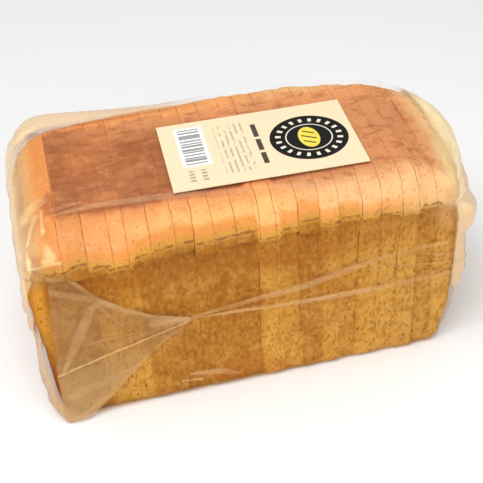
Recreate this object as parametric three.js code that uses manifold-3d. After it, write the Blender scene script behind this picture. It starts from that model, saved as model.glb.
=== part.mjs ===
// A sliced tin loaf in a clear film bag, with a paper label stuck on its top.
// Millimetres, +Z up. +X runs along the loaf, -Y is its front, and the origin is the middle of its base.
import * as THREE from "three";
import { mergeVertices } from "three/addons/utils/BufferGeometryUtils.js";
import Module from "manifold-3d";

const wasm = await Module();
wasm.setup();

// Driving dimensions of the loaf: its widest outline is at the lip where the dough rose over the tin's rim.
const LOAF_LENGTH = 242;
const LOAF_WIDTH = 128;
const LOAF_HEIGHT = 132;
const SHOULDER_IN = 20; // how far the rounded top edge reaches in from the lip
const RIGHT_SHOULDER_IN = 30; // the same at the right-hand end
const SHOULDER_DROP = 17; // how far it falls from the flat top to the lip
const LIP_SAG = 4; // the lip is lower at the loaf's ends than at its middle by this
const FOOT_ROUND = 5; // rounding of the bottom edges
const FOOT_INSET = 3.4; // taper of the tin: how far the foot stands inside the lip
const TAPER_CURVE = 1.3; // above 1 the taper gathers towards the foot
const WALL_INSET = 2.6; // how far the wall's top stands inside the lip
const GROOVE_DEPTH = 3.4; // the film's dip under the lip
const LIP_BAND = 4; // height of the lip below the rounded edge
const LIP_TURN = 3; // height over which the wall turns in under the lip
const GROOVE_BAND = 9; // height over which the dip runs out
const BLEND_BAND = 24; // height under the lip over which the upright edges get rounder

// The film lies on the crust and stands off it at both ends, where the bag is folded.
const FILM_GAP = 1;
const END_ZONE = 34; // length of each end over which the film stands off
const WALL_ROUND = 9; // rounding of the four upright edges
const TOP_ROUND = { front: 19, backLeft: 24, backRight: 26 }; // the same at the lip and above it
const LEFT_STAND_OFF = [ // height, distance
  [0, 0.5], [18, 5.8], [34, 7.2], [48, 6.2], [60, 4.8], [70, 5], [82, 6.9], [98, 7.2], [116, 3.4], [133, 0.8],
];
const RIGHT_STAND_OFF = [[0, -3], [28, 3], [60, 10.6], [82, 9.3], [101, 16], [116, 5.5], [133, 3]];
const HEEL_BULGE = { out: 12, y: 2, reach: 46, from: 98 }; // the right-hand heel swells past the rim
const BACK_SWELL = { x: 0, reach: 110, out: 2.5 }; // the back bows out along its middle
const BACK_TAPER = { from: 42, over: 70, in: 18 }; // and comes in towards the right-hand end
const TAIL = { reach: 46, height: 30, out: 5.5 }; // the loose film at the foot of each left-hand edge
const TENT = { reach: 100, out: 7, lift: 5, from: 0.15, to: 0.75 }; // the film pulled up over the rear edge
const CRUST_WAVE = { pitch: 37, height: 0.5 }; // gentle unevenness of the film along the walls

// The bag's bottom is boxed: a triangular ear of doubled film lies on each long side at the left-hand end.
const EAR = { base: -114, foot: -97, apex: -38, low: 94, top: 106, middle: 62, thickness: 1.1 };
const RIDGE_WIDTH = 3.2;
const RIDGE_HEIGHT = 1.3;
const EMBED = 2.5; // how far ears and ridges reach into the bag, so that they fuse with it

// Where pulled creases run on the long sides: [x, z] of points along each.
const SIDE_CREASES = [
  [[-35, 62.5], [-4, 65], [28, 69], [52, 73], [76, 77], [100, 80]],
  [[-30, 59.5], [4, 58], [37, 56.5], [62, 56], [87, 55.8], [112, 56]],
  [[72, 72.5], [92, 68], [112, 64]],
  [[-110, 39.5], [-76, 50], [-44, 59.5]],
];
const SHOULDER_CREASE = { from: -98, to: -39, y: -42 }; // on the top, beside the flat crust
const END_SEAM = { z: 60, reach: 40 }; // the bag's welds, which cross both ends at half height

const LABEL = { length: 110, width: 67, thickness: 0.4, x: 19.3, y: -9.3, turn: -1.7 };
const LABEL_GAP = 0.3;

const GRID = { along: 40, across: 22, up: 20 };
const CROWDING = 0.35; // how strongly grid lines gather near the edges
const ROW_CROWDING = 1.6; // how strongly the walls' rows gather under the lip

const CRUST_COLOUR = 0xd9964f;
const LABEL_COLOUR = 0xf3e7bb;

const LIP_HEIGHT = LOAF_HEIGHT + FILM_GAP - SHOULDER_DROP;
const BAG_TOP = LOAF_HEIGHT + FILM_GAP;
const HALF_LENGTH = LOAF_LENGTH / 2 + FILM_GAP;
const HALF_WIDTH = LOAF_WIDTH / 2 + FILM_GAP;

function smooth(t) {
  return THREE.MathUtils.smoothstep(t, 0, 1);
}

// Reads a height-to-distance list with a smooth step between its entries.
function along(list, z) {
  for (let i = 1; i < list.length; i++) {
    const [z0, d0] = list[i - 1];
    const [z1, d1] = list[i];
    if (z <= z1) return THREE.MathUtils.lerp(d0, d1, smooth((z - z0) / (z1 - z0)));
  }
  return list[list.length - 1][1];
}

// How far the wall stands inside the lip's outline at a height.
function wallInset(z) {
  const lipBottom = LIP_HEIGHT - LIP_BAND;
  const grooveLine = lipBottom - LIP_TURN;
  const wallTop = grooveLine - GROOVE_BAND;
  const dip = GROOVE_DEPTH * smooth((lipBottom - z) / LIP_TURN);
  const back = (GROOVE_DEPTH - WALL_INSET) * smooth((grooveLine - z) / GROOVE_BAND);
  const taper = (FOOT_INSET - WALL_INSET) * Math.max(0, (wallTop - z) / wallTop) ** TAPER_CURVE;
  return dip - back + taper;
}

function cornerRound(x, y, z) {
  const back = x < 0 ? TOP_ROUND.backLeft : TOP_ROUND.backRight;
  const top = y < 0 ? TOP_ROUND.front : back;
  return THREE.MathUtils.lerp(WALL_ROUND, top, smooth((z - LIP_HEIGHT) / BLEND_BAND + 1));
}

// Rounds the plan's corners. Gives the point, the outward direction and the distance inside the outline.
function planPoint(x, y, z) {
  const r = cornerRound(x, y, z);
  const inX = THREE.MathUtils.clamp(x, r - HALF_LENGTH, HALF_LENGTH - r);
  const inY = THREE.MathUtils.clamp(y, r - HALF_WIDTH, HALF_WIDTH - r);
  const d = new THREE.Vector2(x - inX, y - inY);
  const reach = Math.max(Math.abs(d.x), Math.abs(d.y));
  if (reach > 0) d.setLength(reach);
  const endEdge = (HALF_LENGTH - Math.abs(x)) * (x > 0 ? SHOULDER_IN / RIGHT_SHOULDER_IN : 1);
  const edge = Math.min(endEdge, HALF_WIDTH - Math.abs(y));
  return { x: inX + d.x, y: inY + d.y, out: d.clone().normalize(), edge };
}

// Turns a point of a cube's surface, each coordinate from -1 to 1, into a point of the bag.
function bagPoint(a, b, c) {
  const crowd = (t) => t * (1 + CROWDING) - CROWDING * t ** 3;
  const level = THREE.MathUtils.lerp(LIP_HEIGHT, FOOT_ROUND, ((1 - c) / 2) ** ROW_CROWDING);
  const p = planPoint(crowd(a) * HALF_LENGTH, crowd(b) * HALF_WIDTH, level);
  let z = level;
  if (c === 1) {
    const t = Math.max(0, 1 - p.edge / SHOULDER_IN);
    z = LIP_HEIGHT + SHOULDER_DROP * Math.sqrt(1 - t * t);
  } else if (c === -1) {
    const t = Math.max(0, 1 - p.edge / FOOT_ROUND);
    z = FOOT_ROUND * (1 - Math.sqrt(1 - t * t));
  }
  const fade = c === -1 ? Math.max(0, 1 - p.edge / HALF_WIDTH) : 1;
  const inset = c === 1 ? 0 : wallInset(Math.max(z, FOOT_ROUND)) * fade;
  const q = new THREE.Vector3(p.x - p.out.x * inset, p.y - p.out.y * inset, z);
  return looseFilm(q);
}

// Moves a point of the snug form to where the loose film is.
function looseFilm(q) {
  const { x, y, z } = q;
  const left = smooth((END_ZONE - HALF_LENGTH - x) / END_ZONE);
  const right = smooth((END_ZONE - HALF_LENGTH + x) / END_ZONE);
  q.x += right * along(RIGHT_STAND_OFF, z) - left * along(LEFT_STAND_OFF, z);
  const middle = Math.max(0, 1 - ((y - HEEL_BULGE.y) / HEEL_BULGE.reach) ** 2);
  q.x += right * HEEL_BULGE.out * middle * smooth((z - HEEL_BULGE.from) / GROOVE_BAND);
  const swell = BACK_SWELL.out * Math.max(0, 1 - ((x - BACK_SWELL.x) / BACK_SWELL.reach) ** 2);
  const taper = BACK_TAPER.in * smooth((x - BACK_TAPER.from) / BACK_TAPER.over);
  q.y += (swell - taper) * Math.max(0, y / HALF_WIDTH) ** 2;
  const nearFoot = smooth(1 - z / TAIL.height);
  const nearLeft = smooth(1 - (x + HALF_LENGTH) / TAIL.reach);
  const side = THREE.MathUtils.clamp(y / HALF_WIDTH, -1, 1);
  const rim = side * Math.abs(side) ** 3;
  q.y += TAIL.out * nearFoot * nearLeft * rim;
  const tent = smooth(1 - (x + HALF_LENGTH) / TENT.reach) * smooth((rim - TENT.from) / (TENT.to - TENT.from));
  const shoulder = smooth((z - LIP_HEIGHT) / BLEND_BAND + 1);
  q.y += TENT.out * tent * shoulder;
  q.z += TENT.lift * tent * shoulder;
  const atLip = smooth(z / LIP_HEIGHT) * smooth((BAG_TOP - z) / SHOULDER_DROP);
  q.z -= LIP_SAG * atLip * (x / HALF_LENGTH) ** 2;
  const wall = smooth(z / FOOT_ROUND - 1) * smooth((LIP_HEIGHT - z) / GROOVE_BAND);
  q.y += CRUST_WAVE.height * wall * rim * Math.sin((x / CRUST_WAVE.pitch + z / LIP_HEIGHT) * Math.PI * 2);
  return q;
}

// Merges a geometry's vertices by position and makes it a solid that can be joined.
function solidOf(geometry) {
  const bare = geometry.clone();
  bare.deleteAttribute("normal");
  bare.deleteAttribute("uv");
  const merged = mergeVertices(bare, 1e-4);
  const vertProperties = new Float32Array(merged.attributes.position.array);
  const triVerts = new Uint32Array(merged.index.array);
  return new wasm.Manifold(new wasm.Mesh({ numProp: 3, vertProperties, triVerts }));
}

function geometryOf(solid) {
  const mesh = solid.getMesh();
  const geometry = new THREE.BufferGeometry();
  geometry.setAttribute("position", new THREE.BufferAttribute(mesh.vertProperties, 3));
  geometry.setIndex(new THREE.BufferAttribute(mesh.triVerts, 1));
  geometry.computeVertexNormals();
  return geometry;
}

function bagShell() {
  const shell = new THREE.BoxGeometry(2, 2, 2, GRID.along, GRID.across, GRID.up);
  const position = shell.attributes.position;
  for (let i = 0; i < position.count; i++) {
    const q = bagPoint(position.getX(i), position.getY(i), position.getZ(i));
    position.setXYZ(i, q.x, q.y, q.z);
  }
  return solidOf(shell);
}

// A point of the film on a long side: side is -1 for the front and 1 for the back.
function onSide(x, z, side) {
  return looseFilm(new THREE.Vector3(x, side * (HALF_WIDTH - wallInset(z)), z));
}

// A fold's ridge: a bar of triangular section along a row of points, its edge standing out along outward.
function ridge(points, outward) {
  const half = RIDGE_WIDTH / 2;
  const corners = [[-half, -EMBED], [half, -EMBED], [0, RIDGE_HEIGHT]];
  const position = [];
  points.forEach((point, i) => {
    const before = points[Math.max(0, i - 1)];
    const after = points[Math.min(points.length - 1, i + 1)];
    const run = new THREE.Vector3().subVectors(after, before);
    const across = new THREE.Vector3().crossVectors(outward, run).normalize();
    for (const [side, rise] of corners) {
      const corner = point.clone().addScaledVector(across, side).addScaledVector(outward, rise);
      position.push(...corner.toArray());
    }
  });
  const index = [0, 2, 1];
  for (let i = 0; i + 1 < points.length; i++) {
    for (let k = 0; k < 3; k++) {
      const [p, q] = [i * 3 + k, i * 3 + ((k + 1) % 3)];
      index.push(p, q, q + 3, p, q + 3, p + 3);
    }
  }
  const last = (points.length - 1) * 3;
  index.push(last, last + 1, last + 2);
  const geometry = new THREE.BufferGeometry();
  geometry.setAttribute("position", new THREE.Float32BufferAttribute(position, 3));
  geometry.setIndex(index);
  return solidOf(geometry);
}

// A folded ear: a triangle of doubled film on a long side, its point at half height.
function ear(side) {
  const outline = new THREE.Shape([
    new THREE.Vector2(EAR.base, FOOT_ROUND),
    new THREE.Vector2(EAR.foot, FOOT_ROUND),
    new THREE.Vector2(EAR.apex, EAR.middle),
    new THREE.Vector2(EAR.foot, EAR.top),
    new THREE.Vector2(EAR.base, EAR.low),
  ]);
  const depth = EAR.thickness + EMBED;
  const slab = new THREE.ExtrudeGeometry(outline, { depth, bevelEnabled: false });
  const foot = onSide(EAR.apex, FOOT_ROUND, side);
  const head = onSide(EAR.apex, EAR.low, side);
  const lean = Math.atan2(head.y - foot.y, head.z - foot.z);
  // The slab is drawn in x and z, so it is stood up, slid to the wall and leaned with it.
  slab.rotateX(Math.PI / 2);
  slab.translate(0, side < 0 ? EMBED : depth - EMBED, -FOOT_ROUND);
  slab.rotateX(-lean);
  slab.translate(0, foot.y, FOOT_ROUND);
  return solidOf(slab);
}

function sideFolds(side) {
  const outward = new THREE.Vector3(0, side, 0);
  const creases = SIDE_CREASES.map((crease) => {
    return ridge(crease.map(([x, z]) => onSide(x, z, side)), outward);
  });
  return [ear(side), ...creases];
}

// The weld across an end at half height.
function endSeam(end) {
  const standOff = along(end < 0 ? LEFT_STAND_OFF : RIGHT_STAND_OFF, END_SEAM.z);
  const x = end * (HALF_LENGTH - wallInset(END_SEAM.z) + standOff);
  const from = new THREE.Vector3(x, -END_SEAM.reach, END_SEAM.z);
  const to = new THREE.Vector3(x, END_SEAM.reach, END_SEAM.z);
  return ridge([from, to], new THREE.Vector3(end, 0, 0));
}

function shoulderCrease() {
  const from = new THREE.Vector3(SHOULDER_CREASE.from, SHOULDER_CREASE.y, BAG_TOP);
  const to = new THREE.Vector3(SHOULDER_CREASE.to, SHOULDER_CREASE.y, BAG_TOP);
  return ridge([from, to], new THREE.Vector3(0, 0, 1));
}

function breadBag() {
  const folds = [...sideFolds(-1), ...sideFolds(1), endSeam(-1), endSeam(1), shoulderCrease()];
  const joined = folds.reduce((whole, fold) => whole.add(fold), bagShell());
  const material = new THREE.MeshStandardMaterial({ color: CRUST_COLOUR, roughness: 0.35, metalness: 0 });
  const mesh = new THREE.Mesh(geometryOf(joined), material);
  mesh.name = "bread_bag";
  return mesh;
}

function paperLabel() {
  const geometry = new THREE.BoxGeometry(LABEL.length, LABEL.width, LABEL.thickness);
  const material = new THREE.MeshStandardMaterial({ color: LABEL_COLOUR, roughness: 0.55, metalness: 0 });
  const mesh = new THREE.Mesh(geometry, material);
  mesh.name = "label";
  mesh.position.set(LABEL.x, LABEL.y, BAG_TOP + LABEL_GAP + LABEL.thickness / 2);
  mesh.rotation.z = THREE.MathUtils.degToRad(LABEL.turn);
  return mesh;
}

const baggedLoaf = new THREE.Group();
baggedLoaf.add(breadBag(), paperLabel());

// The origin goes to the middle of the whole's base.
const middle = new THREE.Box3().setFromObject(baggedLoaf).getCenter(new THREE.Vector3()).setZ(0);
baggedLoaf.children.forEach((mesh) => mesh.position.sub(middle));
export default baggedLoaf;
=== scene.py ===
"""A sliced tin loaf in a clear film bag with a paper label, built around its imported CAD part.

The sidebar panel lists one operator for each piece. Lengths in the form functions are millimetres, in the same
form frame as the part's source, and BASE carries them to the frame's metres.
"""

import math

import bmesh
import bpy
from mathutils import Matrix, Vector, noise
from mathutils.bvhtree import BVHTree


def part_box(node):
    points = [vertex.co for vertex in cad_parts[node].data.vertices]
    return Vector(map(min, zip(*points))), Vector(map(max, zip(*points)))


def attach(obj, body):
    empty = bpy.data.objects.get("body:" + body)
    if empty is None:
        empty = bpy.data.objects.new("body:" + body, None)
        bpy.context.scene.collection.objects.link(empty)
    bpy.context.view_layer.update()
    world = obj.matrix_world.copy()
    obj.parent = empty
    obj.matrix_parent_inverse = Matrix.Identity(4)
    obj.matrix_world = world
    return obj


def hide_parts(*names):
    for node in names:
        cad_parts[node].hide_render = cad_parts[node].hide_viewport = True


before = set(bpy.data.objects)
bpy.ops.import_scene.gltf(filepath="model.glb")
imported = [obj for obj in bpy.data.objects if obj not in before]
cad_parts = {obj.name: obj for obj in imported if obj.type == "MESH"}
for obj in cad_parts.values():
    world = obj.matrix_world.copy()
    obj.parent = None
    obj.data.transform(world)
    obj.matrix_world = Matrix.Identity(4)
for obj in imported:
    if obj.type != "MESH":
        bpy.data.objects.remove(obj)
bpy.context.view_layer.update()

bl_info = {
    "name": "Bagged sliced loaf",
    "version": (1, 0, 0),
    "blender": (4, 5, 0),
    "location": "3D View > Sidebar > Loaf",
    "description": "Sliced tin loaf, its clear film bag, the bag's folded ears and its label",
    "category": "Add Mesh",
}

MM = 0.001
LABEL_IN_FORM = Vector((19.3, -9.3))
LABEL_LOW, LABEL_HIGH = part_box("label")
LABEL_MIDDLE = (LABEL_LOW + LABEL_HIGH) / 2
LABEL_TURN = math.radians(-1.7)
BASE = Vector((LABEL_MIDDLE.x / MM - LABEL_IN_FORM.x, LABEL_MIDDLE.y / MM - LABEL_IN_FORM.y, 0))

# The snug form, as in the part's source.
SHOULDER_IN = 20
RIGHT_SHOULDER_IN = 30
SHOULDER_DROP = 17
LIP_SAG = 4
FOOT_ROUND = 5
FOOT_INSET = 3.4
TAPER_CURVE = 1.3
WALL_INSET = 2.6
GROOVE_DEPTH = 3.4
LIP_BAND = 4
LIP_TURN = 3
GROOVE_BAND = 9
BLEND_BAND = 24
END_ZONE = 34
WALL_ROUND = 9
TOP_ROUND = {"front": 19, "back_left": 24, "back_right": 26}
BACK_SWELL = {"x": 0, "reach": 110}
BACK_TAPER = {"from": 42, "over": 70, "in": 18}
CROWDING = 0.35
ROW_CROWDING = 1.6

FILM = {
    "half_length": 122,
    "half_width": 65,
    "top": 133,
    "left": [
        (0, 0.5), (18, 5.8), (34, 7.2), (48, 6.2), (60, 4.8),
        (70, 5), (82, 6.9), (98, 7.2), (116, 3.4), (133, 0.8),
    ],
    "right": [(0, -3), (28, 3), (60, 10.6), (82, 9.3), (101, 16), (116, 5.5), (133, 3)],
    "bulge": {"out": 12, "y": 2, "reach": 46, "from": 98},
    "swell": 2.5,
    "corner_in": 0,
    "tail": {"reach": 46, "height": 30, "out": 5.5},
    "tent": {"reach": 100, "out": 7, "lift": 5, "from": 0.15, "to": 0.75},
}
LOAF = {
    "half_length": 120,
    "half_width": 64,
    "top": 132,
    "left": [
        (0, 0.5), (28, 2.6), (54, 3.4), (66, 4.6), (78, 5.8),
        (100, 6.4), (108, 4.4), (114, 1.8), (126, -0.6), (133, -1),
    ],
    "right": [(0, -3), (10, 0.5), (30, 4.5), (60, 6), (96, 6.5), (107, 7), (118, 5), (133, 2)],
    "bulge": {"out": 10.8, "y": 2, "reach": 46, "from": 98},
    "swell": 3,
    "corner_in": 8,
    "tail": None,
    "tent": None,
}

# Cells of the bodies' faces along x, y and z, and of an ear along and up it.
LOAF_CELLS = (108, 50, 46)
FILM_CELLS = (150, 66, 64)
GAP_CELLS = (60, 30, 30)
EAR_CELLS = (58, 70)

CUT_FROM = -100.3
CUT_PITCH = 11.57
CUTS = 19
CUT_HALF = 0.6
CUT_DEPTH = 0.75
CUT_LEAN = 0.012
CUT_TWIST = 0.014
# Slices whose crust baked darker (near 0) or paler (near 1) than chance gives them, counted from the left.
SHADES = {3: 0.75, 4: 0.05, 9: 0.05, 10: 0.8}
# How far along each end the film still lies on the crust, by height.
HEEL_EDGE = [(8, 140), (30, 126), (48, 119), (108, 118.4), (122, 121)]
TAIL_EDGE = [(0, -120.5), (54, -121.4), (78, -122.8), (100, -123), (112, -121.4), (126, -119.6)]

# Creases pulled across the film's long sides, as x and z of each end, its two half widths and its strength.
# They raise the film and whiten it, partly as real fold whitening and partly as painted highlights.
WALL_CREASES = [
    ((-36, 62.5), (28, 68.6), 0.8, 2.6, 0.34),
    ((28, 68.6), (71, 77.5), 2.6, 1.9, 0.36),
    ((71, 77.5), (100, 80.5), 1.9, 1.4, 0.34),
    ((100, 80.5), (116, 80), 1.4, 1.0, 0.3),
    ((-36, 61.5), (37, 56.4), 0.7, 1.9, 0.46),
    ((37, 56.4), (67, 55.8), 1.9, 2.0, 0.5),
    ((67, 55.8), (118, 56.2), 2.0, 1.5, 0.42),
    ((88, 79), (118, 70), 0.5, 0.9, 0.3),
    ((70, 72), (118, 64.5), 0.5, 0.8, 0.22),
    ((104, 58), (119, 61.5), 0.4, 1.0, 0.3),
    # These last three are painted highlights: glints low on the front left, drawn as short creases.
    ((-40, 17.5), (-22, 14), 1.3, 2.4, 0.36),
    ((-22, 14), (-12, 10), 2.4, 0.8, 0.36),
    ((-47, 13.5), (-35, 11.2), 0.6, 1.1, 0.5),
]
# Creases over the top, as x and y of each end; their whitening is partly painted highlight.
TOP_CREASES = [
    ((-101, -40.8), (-80, -39.0), 0.9, 1.9, 0.26),
    ((-80, -39.0), (-52, -40.6), 1.9, 2.6, 0.28),
    ((-52, -40.6), (-30, -43.4), 2.6, 2.0, 0.26),
    ((-30, -43.4), (4, -49.4), 2.0, 1.9, 0.2),
    ((4, -49.4), (40, -53.6), 1.9, 2.2, 0.16),
    ((40, -53.6), (62, -53.6), 2.2, 1.2, 0.12),
    ((-101, -36.0), (-86, -33.0), 1.8, 0.8, 0.18),
]
# Creases and bands on the ears, as x and z of each end; their whitening is partly painted highlight, as at the
# apex.
EAR_CREASES = [
    ((-117, 38), (-80, 49), 0.5, 0.45, 0.46),
    ((-80, 49), (-40, 60), 0.45, 0.4, 0.36),
    ((-90, 86), (-101, 64), 2.0, 3.2, 0.2),
    ((-101, 64), (-114, 38), 3.2, 0.7, 0.2),
    ((-112, 101), (-92, 90.5), 1.7, 2.0, 0.17),
    ((-92, 90.5), (-70, 76.5), 2.0, 2.0, 0.17),
    ((-70, 76.5), (-42, 62.8), 2.0, 2.4, 0.18),
    ((-99, 105), (-62, 72.8), 1.4, 1.6, 0.14),
    ((-58, 63.4), (-39, 61.6), 3.4, 1.6, 0.24),
    ((-88, 86), (-76, 66), 1.0, 0.6, 0.12),
    ((-100, 58), (-60, 60), 0.9, 0.6, 0.1),
    ((-84, 52.4), (-52, 60.2), 1.5, 1.2, 0.1),
    ((-110, 20), (-72, 33), 3.4, 1.2, 0.1),
    ((-106, 6), (-84, 18), 1.0, 0.8, 0.14),
]
# Painted highlights on the folds round the front left-hand corner, as x, y and z of each end.
CORNER_GLINTS = [
    ((-107.6, -26, 132.6), (-117, -32, 128.6), 3.6, 4.4, 0.24),
    ((-112, -37, 131), (-116.2, -49.3, 128.5), 2.2, 1.2, 0.26),
    ((-116.2, -49.3, 128.5), (-118.6, -58.4, 119.3), 1.0, 1.2, 0.34),
    ((-118.6, -58.4, 119.3), (-119.6, -60.5, 111.6), 1.6, 1.0, 0.34),
    ((-107.7, -34, 132.5), (-108.3, -50, 131.8), 0.5, 1.3, 0.3),
    ((-108.3, -50, 131.8), (-107.0, -61.8, 122), 1.3, 3.2, 0.5),
    ((-109.5, -62.2, 120.3), (-102.6, -63.7, 119.0), 2.6, 1.0, 0.42),
    ((-121.0, -58.6, 114.0), (-109.0, -62.6, 118.6), 0.7, 1.6, 0.4),
]
# The film lies on the crust up to the first of these gaps, or the second at the back left, and is fully loose
# when it stands off by one band more.
CLINGS = 3.0
CLINGS_BACK = 2.2
LOOSE_BAND = 1.9

# The ears: the slanted base line at the bag's corner, and the upper and lower edges that meet at the apex.
EAR_BASE = [(3, -117.6), (35, -117), (73, -114.6), (104, -111.8), (116, -111)]
EAR_APEX = -37
EAR_GAP = 1.1
EAR_CREASE = 0.9
EAR_RIPPLE = 0.35
EAR_TOP = [
    (-118, 114), (-111, 115.5), (-103, 114), (-98.5, 109), (-88.7, 95), (-73, 80.6), (-58, 70.5), (-37, 63),
]
EAR_FOOT = [(-118.5, 3), (-103, 2.4), (-87, 16), (-58, 46), (-37, 61)]


def smooth(t):
    t = min(1.0, max(0.0, t))
    return t * t * (3 - 2 * t)


def lerp(a, b, t):
    return a + (b - a) * t


def along(stops, at, ease=smooth):
    """Reads a list of (place, value) at a place, easing between its entries."""
    at = max(stops[0][0], at)
    for (p0, v0), (p1, v1) in zip(stops, stops[1:]):
        if at <= p1:
            return lerp(v0, v1, ease((at - p0) / (p1 - p0)))
    return stops[-1][1]


def straight(t):
    return t


def wall_inset(z, lip):
    """How far the wall stands inside the lip's outline at a height."""
    lip_bottom = lip - LIP_BAND
    groove = lip_bottom - LIP_TURN
    wall_top = groove - GROOVE_BAND
    dip = GROOVE_DEPTH * smooth((lip_bottom - z) / LIP_TURN)
    back = (GROOVE_DEPTH - WALL_INSET) * smooth((groove - z) / GROOVE_BAND)
    taper = (FOOT_INSET - WALL_INSET) * max(0.0, (wall_top - z) / wall_top) ** TAPER_CURVE
    return dip - back + taper


def plan_point(form, x, y, z):
    """A point of the plan with rounded corners, its outward direction and its depth inside the outline."""
    hx, hy = form["half_length"], form["half_width"]
    back = TOP_ROUND["back_left" if x < 0 else "back_right"]
    top_round = TOP_ROUND["front"] if y < 0 else back
    r = lerp(WALL_ROUND, top_round, smooth((z - (form["top"] - SHOULDER_DROP)) / BLEND_BAND + 1))
    inner = Vector((min(max(x, r - hx), hx - r), min(max(y, r - hy), hy - r)))
    out = Vector((x, y)) - inner
    reach = max(abs(out.x), abs(out.y))
    out.normalize()
    end_edge = (hx - abs(x)) * (SHOULDER_IN / RIGHT_SHOULDER_IN if x > 0 else 1)
    return inner + out * reach, out, min(end_edge, hy - abs(y))


def snug_point(form, a, b, c):
    """Turns a point of a cube's surface, each coordinate from -1 to 1, into a point of the loaf or its bag."""
    lip = form["top"] - SHOULDER_DROP
    crowd = [t * (1 + CROWDING) - CROWDING * t**3 for t in (a, b)]
    level = lerp(lip, FOOT_ROUND, max(0.0, (1 - c) / 2) ** ROW_CROWDING)
    p, out, edge = plan_point(form, crowd[0] * form["half_length"], crowd[1] * form["half_width"], level)
    z, fade = level, 1
    if c > 1 - 1e-5:
        z = lip + SHOULDER_DROP * math.sqrt(1 - max(0.0, 1 - edge / SHOULDER_IN) ** 2)
        fade = 0
    elif c < -1 + 1e-5:
        z = FOOT_ROUND * (1 - math.sqrt(1 - max(0.0, 1 - edge / FOOT_ROUND) ** 2))
        fade = max(0.0, 1 - edge / form["half_width"])
    p = p - out * (wall_inset(max(z, FOOT_ROUND), lip) * fade)
    return loosen(form, Vector((p.x, p.y, z)))


def loosen(form, q):
    """Moves a point of the snug form to where the crust swells or the film stands off it."""
    x, y, z = q
    hx, hy, lip = form["half_length"], form["half_width"], form["top"] - SHOULDER_DROP
    left = smooth((END_ZONE - hx - x) / END_ZONE)
    right = smooth((END_ZONE - hx + x) / END_ZONE)
    bulge = form["bulge"]
    q = q.copy()
    q.x += right * along(form["right"], z) - left * along(form["left"], z)
    middle = max(0.0, 1 - ((y - bulge["y"]) / bulge["reach"]) ** 2)
    q.x += right * bulge["out"] * middle * smooth((z - bulge["from"]) / GROOVE_BAND)
    swell = form["swell"] * max(0.0, 1 - ((x - BACK_SWELL["x"]) / BACK_SWELL["reach"]) ** 2)
    taper = BACK_TAPER["in"] * smooth((x - BACK_TAPER["from"]) / BACK_TAPER["over"])
    corner = form["corner_in"] * smooth((-70 - x) / 40)
    q.y += (swell - taper - corner) * max(0.0, y / hy) ** 2
    side = min(1.0, max(-1.0, y / hy))
    rim = side * abs(side) ** 3
    if form["tail"]:
        tail, tent = form["tail"], form["tent"]
        q.y += tail["out"] * smooth(1 - z / tail["height"]) * smooth(1 - (x + hx) / tail["reach"]) * rim
        over_side = smooth((rim - tent["from"]) / (tent["to"] - tent["from"]))
        raised = smooth(1 - (x + hx) / tent["reach"]) * over_side * smooth((z - lip) / BLEND_BAND + 1)
        q.y += tent["out"] * raised
        q.z += tent["lift"] * raised
    at_lip = smooth(z / lip) * smooth((form["top"] - z) / SHOULDER_DROP)
    q.z -= LIP_SAG * at_lip * (x / hx) ** 2
    return q


def wall_point(form, x, z, side):
    """The point of a long side that ends up at x: side is -1 for the front and 1 for the back."""
    lip = form["top"] - SHOULDER_DROP
    guess = x
    for _ in range(5):
        p, out, _edge = plan_point(form, guess, side * form["half_width"], z)
        p = p - out * wall_inset(z, lip)
        q = loosen(form, Vector((p.x, p.y, z)))
        guess += x - q.x
    return q


def line_distance(px, py, start, end):
    """Distance from a point to a line between two ends, and how far along the line its nearest point is."""
    ax, ay = start
    dx, dy = end[0] - ax, end[1] - ay
    t = min(1.0, max(0.0, ((px - ax) * dx + (py - ay) * dy) / (dx * dx + dy * dy)))
    return math.hypot(px - ax - dx * t, py - ay - dy * t), t


def crease_rise(px, py, creases, height):
    """How far the film stands up at a point for the creases that run near it."""
    rise = 0.0
    for start, end, width_from, width_to, strength in creases:
        d, t = line_distance(px, py, start, end)
        half = max(0.9, lerp(width_from, width_to, t))
        rise = max(rise, height * min(1.0, strength * 2.2) * smooth(1.25 - d / (half * 1.7)))
    return rise


def box_of_cells(bm, cells):
    """A two-unit cube whose edges along each axis are cut into that many cells."""
    bmesh.ops.create_cube(bm, size=2)
    for axis, count in enumerate(cells):
        lengthwise = [e for e in bm.edges if abs(e.verts[0].co[axis] - e.verts[1].co[axis]) > 1e-6]
        bmesh.ops.subdivide_edges(bm, edges=lengthwise, cuts=count - 1, use_grid_fill=True)


def to_frame(bm):
    for v in bm.verts:
        v.co = (v.co + BASE) * MM


def piece_of(bm, name, materials, replaced=("bread_bag",)):
    """Makes the object of a finished mesh and ties it to the CAD body."""
    bmesh.ops.recalc_face_normals(bm, faces=bm.faces)
    mesh = bpy.data.meshes.new(name)
    bm.to_mesh(mesh)
    bm.free()
    for polygon in mesh.polygons:
        polygon.use_smooth = True
    for material in materials:
        mesh.materials.append(material)
    piece = bpy.data.objects.new(name, mesh)
    bpy.context.scene.collection.objects.link(piece)
    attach(piece, "root")
    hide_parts(*replaced)
    return piece


def srgb(red, green, blue):
    """A linear colour from the 0 to 255 values of a display."""

    def linear(value):
        v = value / 255
        return v / 12.92 if v <= 0.04045 else ((v + 0.055) / 1.055) ** 2.4

    return (linear(red), linear(green), linear(blue), 1.0)


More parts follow.
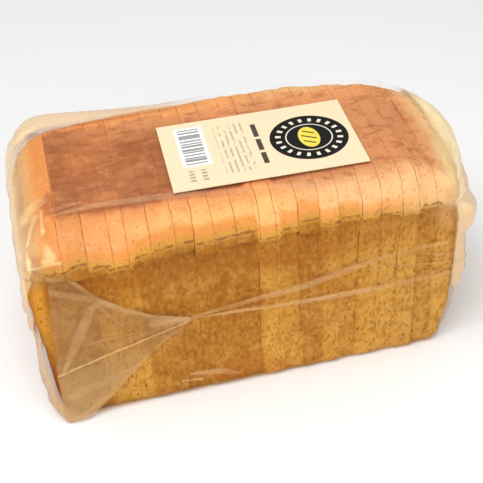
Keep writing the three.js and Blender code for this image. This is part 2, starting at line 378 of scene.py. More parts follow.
class Socket:
    """An output of a node in a finish being mixed, with the arithmetic that adds Math nodes."""

    def __init__(self, finish, link):
        self.finish = finish
        self.link = link

    def _math(self, operation, *values, clamp=False):
        settings = {"operation": operation, "use_clamp": clamp}
        return self.finish.node("ShaderNodeMath", settings, dict(enumerate(values)))

    def __add__(self, other):
        return self._math("ADD", self, other)

    def __radd__(self, other):
        return self._math("ADD", other, self)

    def __sub__(self, other):
        return self._math("SUBTRACT", self, other)

    def __rsub__(self, other):
        return self._math("SUBTRACT", other, self)

    def __mul__(self, other):
        return self._math("MULTIPLY", self, other)

    def __rmul__(self, other):
        return self._math("MULTIPLY", other, self)

    def __truediv__(self, other):
        return self._math("DIVIDE", self, other)

    def __pow__(self, other):
        return self._math("POWER", self, other)

    def __abs__(self):
        return self._math("ABSOLUTE", self)

    def most(self, other):
        return self._math("MAXIMUM", self, other)

    def modulo(self, size):
        return self._math("FLOORED_MODULO", self, size)

    def clamped(self):
        return self._math("ADD", self, 0.0, clamp=True)

    def ramp(self, low, high, to_low=0.0, to_high=1.0):
        """A smooth step from one value to another."""
        settings = {"interpolation_type": "SMOOTHSTEP"}
        inputs = {"Value": self, "From Min": low, "From Max": high, "To Min": to_low, "To Max": to_high}
        return self.finish.node("ShaderNodeMapRange", settings, inputs)

    def vector(self, operation, *others, output=0):
        return self.finish.node(
            "ShaderNodeVectorMath", {"operation": operation}, dict(enumerate((self, *others))), output
        )

    def scaled(self, factor):
        return self.finish.node("ShaderNodeVectorMath", {"operation": "SCALE"}, {0: self, "Scale": factor})

    def apart(self):
        """The three numbers of a vector."""
        return [self.finish.node("ShaderNodeSeparateXYZ", {}, {0: self}, axis) for axis in range(3)]


class Finish:
    """A material and the nodes that mix it."""

    def __init__(self, name):
        self.material = bpy.data.materials.new(name)
        self.material.use_nodes = True
        self.tree = self.material.node_tree
        self.tree.nodes.clear()
        place = self.node("ShaderNodeTexCoord", {}, {}, "Object").scaled(1 / MM)
        self.form = place.vector("SUBTRACT", self.joined(BASE))
        self.x, self.y, self.z = self.form.apart()

    def node(self, kind, settings, inputs, output=0):
        made = self.tree.nodes.new(kind)
        for key, value in settings.items():
            if key == "stops":
                while len(made.color_ramp.elements) < len(value):
                    made.color_ramp.elements.new(1)
                for element, (at, colour) in zip(made.color_ramp.elements, value):
                    element.position = at
                    element.color = colour
            else:
                setattr(made, key, value)
        for key, value in inputs.items():
            if isinstance(value, Socket):
                self.tree.links.new(value.link, made.inputs[key])
            else:
                made.inputs[key].default_value = value
        return None if output is None else Socket(self, made.outputs[output])

    def mix(self, amount, first, second):
        """One colour turning into another."""
        inputs = {0: amount, 6: first, 7: second}
        return self.node("ShaderNodeMix", {"data_type": "RGBA", "clamp_factor": True}, inputs, 2)

    def drawn_out(self, stretch):
        """The place on the form, with patterns longer by a factor along each axis."""
        return self.form.vector("MULTIPLY", self.joined([1 / factor for factor in stretch]))

    def speckle(self, size, stretch=(1, 1, 1), detail=3.0, roughness=0.55, warp=0.0):
        """Soft noise from 0 to 1 whose blotches are about so many millimetres across."""
        inputs = {"Vector": self.drawn_out(stretch), "Scale": 1 / size, "Detail": detail}
        return self.node("ShaderNodeTexNoise", {}, {**inputs, "Roughness": roughness, "Distortion": warp})

    def flecks(self, size, stretch=(1, 1, 1), ragged=0.0):
        """Scattered dots: the distance to the nearest, in parts of their spacing, and its random number."""
        where = self.drawn_out(stretch)
        if ragged:
            noise_inputs = {"Vector": self.form, "Scale": 0.8, "Detail": 1.0}
            push = self.node("ShaderNodeTexNoise", {}, noise_inputs, "Color")
            where = where.vector("ADD", push.scaled(ragged))
        inputs = {"Vector": where, "Scale": 1 / size, "Randomness": 1.0}
        near = self.node("ShaderNodeTexVoronoi", {}, inputs, "Distance")
        return near, self.node("ShaderNodeTexVoronoi", {}, inputs, "Color").apart()[0]

    def attribute(self, name):
        settings = {"attribute_type": "GEOMETRY", "attribute_name": name}
        return self.node("ShaderNodeAttribute", settings, {}, "Fac")

    def creases(self, where, creases):
        """How much creases, each a line that widens from end to end, whiten each point, a whitening that also
        serves for painted highlights.
        """
        total = None
        for start, end, width_from, width_to, strength in creases:
            a, b = Vector((*start, 0)[:3]), Vector((*end, 0)[:3])
            run = b - a
            from_start = where.vector("SUBTRACT", self.joined(a))
            dot = from_start.vector("DOT_PRODUCT", self.joined(run / run.length_squared), output=1)
            t = dot.clamped()
            step = self.joined(run).scaled(t)
            gap = from_start.vector("SUBTRACT", step).vector("LENGTH", output=1)
            half = t * (width_to - width_from) + width_from
            line = (gap / half).ramp(1.5, 0.55) * strength
            total = line if total is None else total.most(line)
        return total

    def grey(self, value):
        return self.node("ShaderNodeCombineColor", {}, {0: value, 1: value, 2: value})

    def joined(self, vector):
        return self.node("ShaderNodeCombineXYZ", {}, dict(enumerate(vector)))

    def bump(self, height, strength, distance_mm):
        inputs = {"Height": height, "Strength": strength, "Distance": distance_mm * MM}
        return self.node("ShaderNodeBump", {}, inputs)

    def surface(self, inputs):
        """Closes the finish with a Principled surface."""
        shader = self.node("ShaderNodeBsdfPrincipled", {}, inputs)
        self.node("ShaderNodeOutputMaterial", {}, {"Surface": shader}, None)
        return self.material


def crust_finish(settings):
    f = Finish("baked crust")
    x, y, z = f.x, f.y, f.z
    blotch = f.speckle(26, detail=2)
    mottle = f.speckle(8, detail=4, roughness=0.65)
    grain = f.speckle(2.0, detail=3, roughness=0.7)
    dashes = f.speckle(2.6, stretch=(0.85, 0.85, 1.35), detail=2, roughness=0.6)
    bran, pick = f.flecks(3.2, stretch=(0.8, 0.8, 1.4), ragged=2.2)
    specks, speck_pick = f.flecks(1.9, ragged=1.6)
    gaps = f.speckle(4, detail=2)
    creases = f.speckle(7, stretch=(2.2, 1, 1), detail=3, warp=0.9)
    tone, cut = f.attribute("tone"), f.attribute("cut")
    end = abs(x / LOAF["half_length"])
    level = z + (end * end) * LIP_SAG + (tone - 0.5) * 7 + (mottle - 0.5) * 4

    # The sides: ochre, browner under the lip with painted shade from its overhang, paler near the foot with
    # painted light bounced up from the floor, paler near the right end, each slice its own tone.
    side = f.mix(blotch.ramp(0.35, 0.65), tuple(settings.side_colour), srgb(202, 142, 48))
    # Painted light bounced up from the floor: the sides pale towards the foot.
    side = f.mix(level.ramp(72, 20) * 0.6, side, srgb(214, 158, 66))
    side = f.mix(x.ramp(20, 112) * 0.6, side, srgb(208, 158, 74))
    side = f.mix(tone.ramp(0.34, 0.05) * 0.6, side, srgb(172, 104, 22))
    side = f.mix(tone.ramp(0.6, 0.9) * 0.25, side, srgb(212, 156, 66))
    side = f.mix(mottle.ramp(0.48, 0.62) * 0.4, side, srgb(218, 162, 80))
    side = f.mix(mottle.ramp(0.5, 0.36) * 0.4, side, srgb(168, 102, 22))
    # Painted shade under the lip's overhang: a browner band below it, strongest towards the left, and an
    # olive-brown band just under the groove.
    side = f.mix(level.ramp(76, 96) * level.ramp(108, 99) * x.ramp(80, 20, 0.35, 0.75), side, srgb(166, 96, 18))
    side = f.mix(level.ramp(98, 107) * 0.5, side, srgb(180, 118, 30))
    side = f.mix(dashes.ramp(0.48, 0.34) * 0.55, side, srgb(148, 86, 16))
    side = f.mix(dashes.ramp(0.54, 0.7) * 0.25, side, srgb(228, 172, 92))
    side = f.mix(x.ramp(-112, -118) * z.ramp(50, 80) * 0.8, side, srgb(226, 154, 46))
    side = f.mix(x.ramp(-112, -118) * z.ramp(56, 36) * 0.85, side, srgb(174, 90, 14))
    side = f.mix(x.ramp(98, 116) * level.ramp(88, 104) * 0.6, side, srgb(222, 168, 108))
    scorch = (abs((x + 2) / 34) + abs((z - 8) / 24) + blotch - 0.5).ramp(1.1, 0.4)
    side = f.mix(scorch * 0.4, side, srgb(182, 102, 24))

    # The shoulder: reddest beside the flat top, then orange, then pale over the lip, partly as paler crust and
    # partly as a painted highlight, and pale over the right heel.
    wander = (mottle - 0.5) * 9 + (blotch - 0.5) * 8
    reach = 42.5 + x.ramp(0, 60) * y.ramp(0, -20) * 10
    outline = (x - 113).most(abs(y - 0.5) - reach) + wander
    rim = (outline + y.ramp(18, 34) * 6).ramp(-1, 8)
    shoulder = f.mix(rim, srgb(216, 128, 74), tuple(settings.shoulder_colour))
    # Paler crust and a painted highlight along the outer shoulder above the lip.
    shoulder = f.mix(outline.ramp(7, 16), shoulder, srgb(246, 180, 108))
    shoulder = f.mix(x.ramp(-40, -84) * y.ramp(20, 0) * 0.85, shoulder, srgb(226, 147, 84))
    shoulder = f.mix(x.ramp(0, 64) * 0.85, shoulder, srgb(242, 190, 132))
    shoulder = f.mix((x - y.ramp(-52, -8) * 9).ramp(106, 118) * 0.95, shoulder, srgb(255, 228, 166))
    shoulder = f.mix(x.ramp(-100, -101) * 0.8, shoulder, srgb(232, 148, 76))
    shoulder = f.mix(x.ramp(-106, -117) * 0.8, shoulder, srgb(252, 206, 132))
    shoulder = f.mix(mottle.ramp(0.52, 0.8) * 0.25, shoulder, srgb(255, 212, 150))
    shoulder = f.mix(mottle.ramp(0.45, 0.33) * 0.35, shoulder, srgb(212, 134, 70))
    scar = (abs((x + 103) / 6) + abs((y + 29) / 16) + (mottle - 0.5) * 2).ramp(1.1, 0.5) * x.ramp(-99.8, -100.8)
    shoulder = f.mix(scar * 0.7, shoulder, srgb(178, 104, 56))
    # The lip's olive foot is painted shade under its rounded edge.
    lip = f.mix(level.ramp(113.5, 117), srgb(218, 154, 64), srgb(230, 150, 72))
    lip = f.mix(x.ramp(-10, 90) * level.ramp(114, 118) * 0.5, lip, srgb(242, 180, 108))
    lip = f.mix(x.ramp(72, 112) * 0.75, lip, srgb(246, 200, 140))
    colour = f.mix(level.ramp(108, 111.5), side, f.mix(level.ramp(118.5, 122.5), lip, shoulder))

    # The flat top, baked darkest at the left, where it ends sharply at the first cut.
    top = f.mix(blotch.ramp(0.35, 0.7), tuple(settings.top_colour), srgb(190, 114, 66))
    top = f.mix(x.ramp(-50, 70) * 0.8, top, srgb(220, 148, 96))
    top = f.mix(y.ramp(14, 42) * x.ramp(-90, -30, 0.2, 0.75), top, srgb(240, 162, 102))
    top = f.mix(mottle.ramp(0.5, 0.75) * 0.5, top, srgb(212, 140, 90))
    top = f.mix(mottle.ramp(0.48, 0.3) * 0.45, top, srgb(156, 86, 46))
    top = f.mix(creases.ramp(0.54, 0.66) * 0.3, top, srgb(222, 150, 100))
    top = f.mix(creases.ramp(0.46, 0.36) * 0.4, top, srgb(148, 82, 44))
    top = f.mix(grain.ramp(0.58, 0.72) * 0.25, top, srgb(226, 160, 112))
    soft = x.ramp(10, 80) * 5
    flat = outline.ramp(soft + 3, -3 - soft) * (z + mottle * 4).ramp(122, 129) * x.ramp(-101, -99.8)
    colour = f.mix(flat, colour, top)

    # Bran flecks, then painted shade: a broken dark line in the groove, a fainter one lower on the front wall,
    # and dark lines along the cuts.
    dots = bran.ramp(0.34, 0.12) * pick.ramp(0.35, 0.55) * level.ramp(124, 108, 0.4, 0.7)
    dots = dots.most(specks.ramp(0.34, 0.14) * speck_pick.ramp(0.5, 0.7) * 0.4)
    colour = f.mix(dots, colour, f.mix(level.ramp(110, 122), srgb(128, 72, 16), srgb(166, 96, 46)))
    # Painted shade in the groove under the lip, broken into dashes.
    groove_shade = abs(level - 111.3).ramp(1.5, 0.3) * gaps.ramp(0.4, 0.56, 0.1, 0.7)
    # A fainter line of painted shade lower on the front wall.
    second = abs(level - 101.5).ramp(1.4, 0.3) * gaps.ramp(0.5, 0.6) * x.ramp(-54, -46) * x.ramp(4, -4) * 0.6
    colour = f.mix(groove_shade.most(second), colour, srgb(118, 70, 20))
    # Painted shade in the cuts between slices, broken up and weaker on the flat top.
    share = level.ramp(104, 112, 0.15, 0.85) * gaps.ramp(0.42, 0.6, 0.05, 1.0) * (1 - flat * 0.8)
    colour = f.mix(cut.ramp(0.4, 0.98) * share, colour, srgb(128, 72, 30))
    shade = (tone - 0.5) * 0.12 + 0.94 + (grain - 0.5) * 0.16
    settings_of_mix = {"data_type": "RGBA", "blend_type": "MULTIPLY"}
    colour = f.node("ShaderNodeMix", settings_of_mix, {0: 1.0, 6: colour, 7: f.grey(shade)}, 2)
    relief = grain * 0.5 + mottle * 0.7
    return f.surface({
        "Base Color": colour,
        "Roughness": grain.ramp(0.3, 0.7, 0.75, 0.92),
        "Normal": f.bump(relief, 0.5, 0.8),
        "Specular IOR Level": 0.2,
    })


def crumb_finish():
    f = Finish("bread crumb")
    pores = f.speckle(2.4, detail=4, roughness=0.7)
    bran = f.speckle(1.3, detail=1)
    colour = f.mix(pores.ramp(0.4, 0.65), srgb(196, 152, 98), srgb(226, 190, 140))
    colour = f.mix(bran.ramp(0.68, 0.78) * 0.6, colour, srgb(120, 72, 34))
    rind = abs(f.y).ramp(58.5, 60.5).most(f.z.ramp(124.5, 127.5)).most(f.z.ramp(3, 1.6))
    colour = f.mix(rind, colour, f.mix(f.z.ramp(112, 122), srgb(186, 122, 48), srgb(200, 120, 68)))
    return f.surface({"Base Color": colour, "Roughness": 0.95, "Normal": f.bump(pores, 0.7, 1.2)})


def film_finish(name, tint, low_tint, turning, haze, creases_at, wrinkle=1.0):
    """Clear film that whitens where it is folded, stretched or doubled, or stands off the loaf, with painted
    highlights along its creases and corner folds.
    """
    f = Finish(name)
    cloud = f.speckle(24, stretch=(1.6, 1, 1), detail=3)
    streak = f.speckle(5, stretch=(5, 3, 1), detail=3, warp=0.6)
    loose, heels = f.attribute("loose"), heel_share(f)
    # Crease whitening, partly real fold whitening and partly painted highlight.
    fold_and_highlight = creases_at(f) * streak.ramp(0.35, 0.6, 0.6, 1.1)
    # Painted highlights on the corner folds.
    glint = f.creases(f.form, CORNER_GLINTS) * streak.ramp(0.3, 0.6, 0.8, 1.05)
    alpha = haze(f, loose, heels, cloud, streak) + fold_and_highlight + glint
    left = f.mix(f.z.ramp(30, 110), srgb(210, 168, 114), srgb(250, 216, 162))
    right = f.mix(f.z.ramp(98, 108), srgb(234, 192, 130), srgb(253, 226, 170))
    milky = f.mix(f.x.ramp(20, 90), left, right)
    colour = f.mix(f.z.ramp(*turning), low_tint, tint)
    colour = f.mix(loose.most(heels), colour, milky)
    # Colour of the folds and their painted highlights.
    folded = f.mix(f.z.ramp(116, 124), srgb(228, 178, 116), srgb(228, 172, 130))
    colour = f.mix((fold_and_highlight * 2.6).clamped(), colour, folded)
    # Painted highlight colour of the corner glints.
    colour = f.mix((glint * 2.6).clamped(), colour, srgb(255, 226, 162))
    relief = streak * 0.6 * wrinkle + cloud * 0.5 + fold_and_highlight * 1.6
    return f.surface({
        "Base Color": colour,
        "Roughness": streak.ramp(0.3, 0.7, 0.22, 0.42),
        "Alpha": alpha.clamped(),
        "Normal": f.bump(relief, 0.6, 1.6),
        "IOR": 1.49,
    })


def heel_share(f):
    """Where the film is drawn together over the loaf's heels."""
    right = (f.x - f.y.ramp(-52, -8) * 9).ramp(106, 119)
    return (right + f.x.ramp(-108, -120) * 0.6) * f.z.ramp(98, 107)


def bag_creases(f):
    """Creases on the long sides, seen on the wall's x and z, and on the top, on its x and y. Their whitening is
    partly painted highlight.
    """
    upright, level = f.joined((f.x, f.z, 0.0)), f.joined((f.x, f.y, 0.0))
    wall = abs(f.y).ramp(50, 58) * f.z.ramp(112, 104)
    return f.creases(upright, WALL_CREASES) * wall + f.creases(level, TOP_CREASES) * f.z.ramp(124, 129)


def bag_haze(f, loose, heels, cloud, streak):
    foot = f.z.ramp(7, 2) * f.x.ramp(50, -10, 0.1, 0.42)
    thin = cloud.ramp(0.35, 0.7, 0.005, 0.05) + streak.ramp(0.56, 0.72) * 0.03
    haze = thin * f.z.ramp(104, 114, 0.6, 1.0) + loose * (0.7 + streak.ramp(0.56, 0.72) * 0.12)
    corner = f.x.ramp(120, 127) * f.z.ramp(97, 105) * 0.2
    return haze + heels * (1 - loose) * 0.44 + foot + corner


def ear_creases(f):
    return f.creases(f.joined((f.x, f.z, 0.0)), EAR_CREASES)


def ear_haze(f, _loose, _heels, cloud, streak):
    low = f.z.ramp(64, 20) * 0.18
    rim = f.attribute("rim").ramp(0.2, 1.0) * 0.13
    return cloud.ramp(0.35, 0.7, 0.08, 0.17) + low + streak.ramp(0.5, 0.7) * 0.05 + rim


class LoafSettings(bpy.types.PropertyGroup):
    slices: bpy.props.IntProperty(
        name="Cuts", description="Cuts across the loaf, one fewer than its slices", default=CUTS, min=0, max=19
    )
    unevenness: bpy.props.FloatProperty(
        name="Unevenness", description="How far slices stand out of line", default=0.5 * MM, unit="LENGTH"
    )
    top_colour: bpy.props.FloatVectorProperty(
        name="Top",
        description="Flat top crust, baked darkest",
        default=srgb(170, 98, 54),
        size=4,
        subtype="COLOR",
    )
    shoulder_colour: bpy.props.FloatVectorProperty(
        name="Shoulder",
        description="Rounded edge of the top",
        default=srgb(240, 162, 96),
        size=4,
        subtype="COLOR",
    )
    side_colour: bpy.props.FloatVectorProperty(
        name="Sides",
        description="Crust baked against the tin",
        default=srgb(178, 112, 32),
        size=4,
        subtype="COLOR",
    )


class BagSettings(bpy.types.PropertyGroup):
    film_tint: bpy.props.FloatVectorProperty(
        name="Film",
        description="Tint of the film's haze",
        default=srgb(224, 190, 150),
        size=4,
        subtype="COLOR",
    )
    # The upper ear's tint, darker than the lower ear's with painted shade.
    doubled_shaded_tint: bpy.props.FloatVectorProperty(
        name="Doubled film",
        description="Tint where two layers lie together",
        default=srgb(194, 153, 98),
        size=4,
        subtype="COLOR",
    )
    crease_height: bpy.props.FloatProperty(
        name="Crease", description="Height of a pulled crease", default=1.1 * MM, unit="LENGTH"
    )
    ear_thickness: bpy.props.FloatProperty(
        name="Ear", description="Thickness of a folded ear", default=0.5 * MM, unit="LENGTH"
    )


class LabelSettings(bpy.types.PropertyGroup):
    paper: bpy.props.FloatVectorProperty(
        name="Paper",
        description="Label paper",
        default=srgb(235, 216, 180),
        size=4,
        subtype="COLOR",
    )
    ink: bpy.props.FloatVectorProperty(
        name="Ink",
        description="Dark print",
        default=srgb(20, 18, 18),
        size=4,
        subtype="COLOR",
    )
    accent: bpy.props.FloatVectorProperty(
        name="Accent",
        description="Badge motif",
        default=srgb(232, 212, 84),
        size=4,
        subtype="COLOR",
    )


class StageSettings(bpy.types.PropertyGroup):
    floor: bpy.props.FloatVectorProperty(
        name="Floor", description="Floor colour", default=(0.9, 0.9, 0.9, 1), size=4, subtype="COLOR"
    )
    key_power: bpy.props.FloatProperty(name="Key", description="Main light", default=11.0, unit="POWER")
    fill_power: bpy.props.FloatProperty(name="Fill", description="Front light", default=4.0, unit="POWER")
    sky: bpy.props.FloatProperty(name="Sky", description="Light from all around", default=0.55)


class LOAF_OT_stage(bpy.types.Operator):
    """Add the floor, the lights and the camera"""

    bl_idname = "loaf.stage"
    bl_label = "Stage"

    def execute(self, context):
        settings = context.scene.loaf_stage
        context.scene.view_settings.view_transform = "Standard"
        place_camera(context)
        bm = bmesh.new()
        bmesh.ops.create_grid(bm, x_segments=1, y_segments=1, size=FLOOR_REACH)
        mesh = bpy.data.meshes.new("floor")
        bm.to_mesh(mesh)
        bm.free()
        floor = bpy.data.objects.new("floor", mesh)
        context.scene.collection.objects.link(floor)
        f = Finish("pale floor")
        dust = f.speckle(300, detail=1)
        tone = f.mix(dust.ramp(0.3, 0.7) * 0.03, tuple(settings.floor), (0.8, 0.8, 0.8, 1))
        mesh.materials.append(f.surface({"Base Color": tone, "Roughness": 0.9}))
        lights = [
            ("key", settings.key_power, 0.9, (-0.35, -0.35, 1.15)),
            ("fill", settings.fill_power, 0.8, (0.35, -1.1, 0.55)),
        ]
        for name, power, size, spot in lights:
            lamp = bpy.data.lights.new(name, "AREA")
            lamp.energy = power
            lamp.size = size
            light = bpy.data.objects.new(name, lamp)
            light.location = spot
            light.rotation_euler = (Vector((0, 0, 0.06)) - Vector(spot)).to_track_quat("-Z", "Y").to_euler()
            context.scene.collection.objects.link(light)
        world = bpy.data.worlds.new("studio")
        world.use_nodes = True
        world.node_tree.nodes["Background"].inputs["Color"].default_value = (1, 1, 1, 1)
        world.node_tree.nodes["Background"].inputs["Strength"].default_value = settings.sky
        context.scene.world = world
        return {"FINISHED"}


# The photograph's view: angles in degrees, lengths in millimetres of the form frame.
CAMERA = {"azimuth": -11.24, "elevation": 38.67, "roll": -3.81, "distance": 654.2, "target": (6.79, 0, 58.14)}
CAMERA_LENS = 78.91
CAMERA_SENSOR = 36
FLOOR_REACH = 9


def place_camera(context):
    turn, tilt = math.radians(CAMERA["azimuth"]), math.radians(CAMERA["elevation"])
    back = Vector((math.sin(turn) * math.cos(tilt), -math.cos(turn) * math.cos(tilt), math.sin(tilt)))
    right = (-back).cross(Vector((0, 0, 1))).normalized()
    up = right.cross(-back)
    axes = Matrix((right, up, back)).transposed() @ Matrix.Rotation(math.radians(CAMERA["roll"]), 3, "Z")
    data = bpy.data.cameras.new("camera")
    data.lens = CAMERA_LENS
    data.sensor_width = CAMERA_SENSOR
    camera = bpy.data.objects.new("camera", data)
    spot = (Vector(CAMERA["target"]) + BASE) * MM + back * (CAMERA["distance"] * MM)
    camera.matrix_world = Matrix.Translation(spot) @ axes.to_4x4()
    context.scene.collection.objects.link(camera)
    context.scene.camera = camera


class LOAF_OT_bread(bpy.types.Operator):
    """Add the sliced loaf"""

    bl_idname = "loaf.bread"
    bl_label = "Sliced loaf"

    def execute(self, context):
        settings = context.scene.loaf_bread
        bm = bmesh.new()
        box_of_cells(bm, LOAF_CELLS)
        for v in bm.verts:
            v.co = snug_point(LOAF, *v.co)
        cut_mark = bm.verts.layers.float.new("cut")
        tone_mark = bm.verts.layers.float.new("tone")
        centres = [CUT_FROM + CUT_PITCH * i for i in range(settings.slices)]
        cut_edges = []
        for i, centre in enumerate(centres):
            twist, tilt = CUT_LEAN * chance(i, 1), CUT_TWIST * chance(i, 2) + CUT_LEAN * i / CUTS
            across = Vector((1, twist, tilt)).normalized()
            for offset in (-CUT_HALF, CUT_HALF, 0):
                everything = bm.verts[:] + bm.edges[:] + bm.faces[:]
                at = Vector((centre + offset, 0, 60))
                made = bmesh.ops.bisect_plane(bm, geom=everything, dist=1e-4, plane_co=at, plane_no=across)
            cut_edges += [g for g in made["geom_cut"] if isinstance(g, bmesh.types.BMEdge)]
        bm.normal_update()
        in_cut = {v for e in cut_edges for v in e.verts}
        for v in in_cut:
            v[cut_mark] = 1.0
        sunk = {v: v.co - v.normal * cut_depth(v.co) for v in in_cut}
        for v, co in sunk.items():
            v.co = co
        bmesh.ops.split_edges(bm, edges=cut_edges)
        rims = [e for e in bm.edges if e.is_boundary]
        capped = bmesh.ops.holes_fill(bm, edges=rims, sides=0)["faces"]
        for face in capped:
            face.material_index = 1
            face.smooth = False
        shift_slices(bm, capped, centres, settings.unevenness / MM, tone_mark)
        for v in bm.verts:
            v.co += crust_relief(v.co)
        to_frame(bm)
        materials = [crust_finish(settings), crumb_finish()]
        piece_of(bm, "sliced_loaf", materials)
        return {"FINISHED"}


def cut_depth(co):
    """The knife leaves a deeper notch in the shoulder's crust than in the flat top and the soft sides."""
    shoulder = smooth((co.z - 106) / 12) * smooth((abs(co.y) - 36) / 9)
    return CUT_DEPTH * (0.06 + 0.36 * shoulder) * (0.8 + 0.6 * noise.noise(co / 4))


def chance(piece, trait):
    """A fixed random number from -1 to 1 for one trait of one slice or cut."""
    return noise.cell(Vector((piece * 3.7 + 0.5, trait * 5.1 + 0.5, 0.5))) * 2 - 1


def shift_slices(bm, caps, centres, unevenness, tone_mark):
    """Sets each slice a little out of line with its neighbours and gives it a tone of its own."""
    capped = set(caps)
    number = {}
    for face in bm.faces:
        if face in capped:
            continue
        at = face.calc_center_median().x
        index = sum(at > centre for centre in centres)
        for v in face.verts:
            number[v] = index
    bm.verts.index_update()
    for v, i in number.items():
        v[tone_mark] = SHADES.get(i, 0.5 + 0.3 * chance(i, 9))
        outer = i in (0, len(centres))
        loose = 0.3 if outer else 1.0
        side = abs(v.co.y) / LOAF["half_width"]
        lip = smooth((v.co.z - 85) / 20) * smooth((122 - v.co.z) / 8) * smooth((side - 0.6) * 4)
        v.co.y += unevenness * loose * chance(i, 4)
        v.co.z += unevenness * loose * (chance(i, 5) * 0.8 * v.co.z / LOAF["top"] + chance(i, 6) * 2.6 * lip)


def crust_relief(co):
    """Blisters and dents of the crust, which keep inside the form."""
    large = noise.noise(co / 15) * 0.5
    fine = noise.noise(co / 5 + Vector((9, 2, 4))) * 0.32
    wander = Vector((noise.noise(co / 6 + Vector((3, 3, 3))) * 0.45, 0, 0))
    inward = Vector((0, -math.copysign(1, co.y) * abs(co.y) / 64, -(co.z - 60) / 72 if co.z > 8 else 0))
    return wander + inward * (large + fine + 0.45)


class LOAF_OT_bag(bpy.types.Operator):
    """Add the film bag around the loaf"""

    bl_idname = "loaf.bag"
    bl_label = "Film bag"

    def execute(self, context):
        settings = context.scene.loaf_bag
        bm = bmesh.new()
        box_of_cells(bm, FILM_CELLS)
        loose_mark = bm.verts.layers.float.new("loose")
        crust = bmesh.new()
        box_of_cells(crust, GAP_CELLS)
        for v in crust.verts:
            v.co = snug_point(LOAF, *v.co)
        crust_tree = BVHTree.FromBMesh(crust)
        crust.free()
        for v in bm.verts:
            at_end = abs(v.co.x) > 0.999
            v.co = snug_point(FILM, *v.co)
            v[loose_mark] = standing_off(v.co, crust_tree.find_nearest(v.co)[3], at_end)
        bm.normal_update()
        height = settings.crease_height / MM
        moved = {v: v.co + v.normal * film_relief(v.co, v.normal, height) for v in bm.verts}
        for v, co in moved.items():
            v.co = co
        to_frame(bm)
        tint = tuple(settings.film_tint)
        film = film_finish("clear film", tint, srgb(212, 164, 98), (106, 116), bag_haze, bag_creases)
        piece_of(bm, "film_bag", [film])
        return {"FINISHED"}


def standing_off(co, gap, at_end):
    """How far the film has come away from the crust at a point, from 0 to 1."""
    if at_end:
        return 0.5 + 0.25 * smooth((-44 - co.y) / 8) if co.x < 0 else 0.42
    clings = lerp(CLINGS, CLINGS_BACK, smooth((co.y - 36) / 12) * smooth((-40 - co.x) / 40))
    apart = smooth((gap - clings) / LOOSE_BAND) * (0.8 if co.y > 50 else 1)
    ends = max(smooth((co.x - along(HEEL_EDGE, co.z)) / 1.8), smooth((along(TAIL_EDGE, co.z) - co.x) / 1.8))
    tent = smooth((co.y - 45) / 4) * smooth((co.z - 100) / 8) * smooth((10 - co.x) / 60)
    return max(apart, ends * 0.9, tent * 0.8)


def film_relief(co, normal, height):
    """How far the film stands out of its smooth form: pulled creases, end folds and gentle wrinkles."""
    x, y, z = co
    rise = 0.0
    if abs(normal.y) > 0.6:
        rise = crease_rise(x, z, WALL_CREASES, height) * smooth((100 - z) / 10)
    flat_top = normal.z > 0.9
    if flat_top:
        rise = crease_rise(x, y, TOP_CREASES, height * 0.8) * smooth((-38 - x) / 6)
    near_end = max(smooth((-92 - x) / 22), smooth((x - 94) / 22))
    fan = noise.noise(Vector((x / 30, y / 16, z / 7))) + 0.6 * noise.noise(Vector((x / 12, y / 9, z / 4.5)))
    rise += near_end * fan * 1.3
    gentle = noise.noise(co / 21) * 0.35 + noise.noise(co / 9) * 0.15
    if flat_top:
        gentle = min(gentle, 0.1) * 0.6
    if z < 1:
        return 0.0
    return rise + (gentle + 0.15 if not flat_top else gentle)


class LOAF_OT_ears(bpy.types.Operator):
    """Add the folded ears of film on the bag's long sides"""

    bl_idname = "loaf.ears"
    bl_label = "Folded ears"

    def execute(self, context):
        settings = context.scene.loaf_bag
        # Paler low on the ear and darker higher up, where the doubled tint carries painted shade.
        tint, low_tint = tuple(settings.doubled_shaded_tint), srgb(216, 174, 114)
        film = film_finish("doubled film", tint, low_tint, (22, 62), ear_haze, ear_creases, wrinkle=0.6)
        for name, side in (("film_ear_front", -1), ("film_ear_back", 1)):
            bm = bmesh.new()
            bmesh.ops.create_grid(bm, x_segments=EAR_CELLS[0], y_segments=EAR_CELLS[1], size=1)
            rim_mark = bm.verts.layers.float.new("rim")
            for v in bm.verts:
                u, w = (v.co.x + 1) / 2, (v.co.y + 1) / 2
                x = lerp(along(EAR_BASE, lerp(3, 114, w)), EAR_APEX, u)
                low, high = along(EAR_FOOT, x, straight), along(EAR_TOP, x, straight)
                z = lerp(low, high, w)
                v[rim_mark] = max(smooth(1.5 - (high - z) / 4), smooth(1 - (z - low) / 2.2) * 0.6)
                ripple = EAR_RIPPLE * noise.noise(Vector((x / 11, z / 14, side)))
                rise = crease_rise(x, z, EAR_CREASES, EAR_CREASE) + ripple
                v.co = wall_point(FILM, x, z, side) + Vector((0, side * (EAR_GAP + rise), 0))
            bmesh.ops.solidify(bm, geom=bm.faces[:], thickness=settings.ear_thickness / MM)
            to_frame(bm)
            piece_of(bm, name, [film])
        return {"FINISHED"}


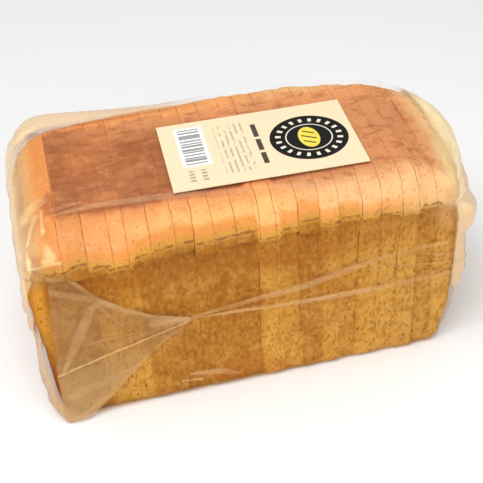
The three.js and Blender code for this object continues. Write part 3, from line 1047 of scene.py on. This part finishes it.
def label_finish(settings):
    """Cream paper with a dark round badge, a white panel of bars and rows of plain strokes.

    Places on it are millimetres from its middle: u along the loaf, v across it.
    """
    f = Finish("printed label")
    middle = (LABEL_MIDDLE.x, LABEL_MIDDLE.y, LABEL_MIDDLE.z)
    inputs = {"Location": middle, "Rotation": (0, 0, LABEL_TURN), "Scale": (MM, MM, MM)}
    source = f.node("ShaderNodeTexCoord", {}, {}, "Object")
    at = f.node("ShaderNodeMapping", {"vector_type": "TEXTURE"}, {"Vector": source, **inputs})
    u, v, _w = at.apart()

    def patch(u0, u1, v0, v1, soft=0.12):
        across = abs(u - (u0 + u1) / 2) - (u1 - u0) / 2
        upright = abs(v - (v0 + v1) / 2) - (v1 - v0) / 2
        return across.most(upright).ramp(soft, -soft)

    def disc(cu, cv, radius, soft=0.15):
        near = (u - cu) * (u - cu) + (v - cv) * (v - cv)
        return (near**0.5).ramp(radius + soft, radius - soft)

    paper, ink, accent = tuple(settings.paper), tuple(settings.ink), tuple(settings.accent)
    fibre = f.speckle(3, detail=4, roughness=0.7)
    colour = f.mix(fibre.ramp(0.3, 0.7) * 0.1, paper, srgb(240, 220, 176))
    # A white panel of bars towards the left edge, over two rows of small blocks.
    colour = f.mix(patch(-46, -29.5, -12, 28), colour, srgb(250, 249, 246))
    bars = v.modulo(2.9).ramp(1.35, 1.55).most(v.modulo(4.7).ramp(3.3, 3.5))
    colour = f.mix(bars * patch(-44, -31.5, -10, 26) * 0.72, colour, srgb(70, 70, 72))
    blocks = v.modulo(3.1).ramp(1.2, 1.4) * (patch(-44, -41, -27, -16).most(patch(-37, -34, -27, -16)))
    colour = f.mix(blocks * 0.6, colour, srgb(110, 104, 92))
    # Rows of plain strokes stand for the small print.
    strokes = u.modulo(3.3).ramp(2.2, 2.4) * f.speckle(2.2, stretch=(1, 2.4, 1), detail=0).ramp(0.4, 0.46)
    colour = f.mix(strokes * patch(-23.5, -6.5, -24, 25) * 0.5, colour, srgb(112, 100, 72))
    title = patch(-1.6, 1.4, -20, -9).most(patch(-1.6, 1.4, -6.5, 5)).most(patch(-1.6, 1.4, 7.5, 21))
    colour = f.mix(title * 0.92, colour, ink)
    # The badge: a dark disc with a band of short dashes round a plain long loaf with three scores.
    cu, cv = 28.6, -1.0
    du, dv = u - cu, v - cv
    colour = f.mix(disc(cu, cv, 22.6), colour, ink)
    turn = f.node("ShaderNodeMath", {"operation": "ARCTAN2"}, {0: du, 1: dv})
    dashes = (turn * (20 / math.tau)).modulo(1.0).ramp(0.62, 0.68)
    dashes = dashes * disc(cu, cv, 19.4) * (1 - disc(cu, cv, 16.2))
    ring = disc(cu, cv, 13.6) * (1 - disc(cu, cv, 12.9))
    colour = f.mix(ring.most(dashes), colour, srgb(240, 232, 206))
    long_loaf = (((du / 6) ** 2.0 + (dv / 10.4) ** 2.0) ** 0.5).ramp(1.03, 0.98)
    slant = abs((dv + du * 0.6 + 2.7).modulo(5.4) - 2.7)
    scores = slant.ramp(0.7, 0.5) * (((du / 4.2) ** 2.0 + (dv / 8.4) ** 2.0) ** 0.5).ramp(1.03, 0.97)
    colour = f.mix(long_loaf * (1 - scores), colour, accent)
    return f.surface({
        "Base Color": colour,
        "Roughness": fibre.ramp(0.3, 0.7, 0.42, 0.55),
        "Normal": f.bump(fibre, 0.12, 0.2),
        "Specular IOR Level": 0.15,
    })


class LOAF_OT_label(bpy.types.Operator):
    """Print the paper label"""

    bl_idname = "loaf.label"
    bl_label = "Label"

    def execute(self, context):
        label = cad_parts["label"]
        label.data.materials.clear()
        label.data.materials.append(label_finish(context.scene.loaf_label))
        return {"FINISHED"}


class LOAF_PT_parts(bpy.types.Panel):
    """Lists the pieces and their settings"""

    bl_idname = "LOAF_PT_parts"
    bl_label = "Bagged loaf"
    bl_space_type = "VIEW_3D"
    bl_region_type = "UI"
    bl_category = "Loaf"

    def draw(self, context):
        scene = context.scene
        for operator, group in STEPS:
            box = self.layout.box()
            box.operator(operator)
            settings = getattr(scene, group)
            for name in settings.bl_rna.properties.keys():
                if name not in ("rna_type", "name"):
                    box.prop(settings, name)


GROUPS = {
    "loaf_stage": StageSettings,
    "loaf_bread": LoafSettings,
    "loaf_bag": BagSettings,
    "loaf_label": LabelSettings,
}
STEPS = [
    ("loaf.stage", "loaf_stage"),
    ("loaf.bread", "loaf_bread"),
    ("loaf.bag", "loaf_bag"),
    ("loaf.ears", "loaf_bag"),
    ("loaf.label", "loaf_label"),
]
OPERATORS = (LOAF_OT_stage, LOAF_OT_bread, LOAF_OT_bag, LOAF_OT_ears, LOAF_OT_label)
CLASSES = (*GROUPS.values(), *OPERATORS, LOAF_PT_parts)


def register():
    for cls in CLASSES:
        bpy.utils.register_class(cls)
    for name, group in GROUPS.items():
        setattr(bpy.types.Scene, name, bpy.props.PointerProperty(type=group))


def unregister():
    for name in GROUPS:
        delattr(bpy.types.Scene, name)
    for cls in reversed(CLASSES):
        bpy.utils.unregister_class(cls)


def main():
    register()
    for operator, _group in STEPS:
        area, name = operator.split(".")
        getattr(getattr(bpy.ops, area), name)()


if __name__ == "__main__":
    main()
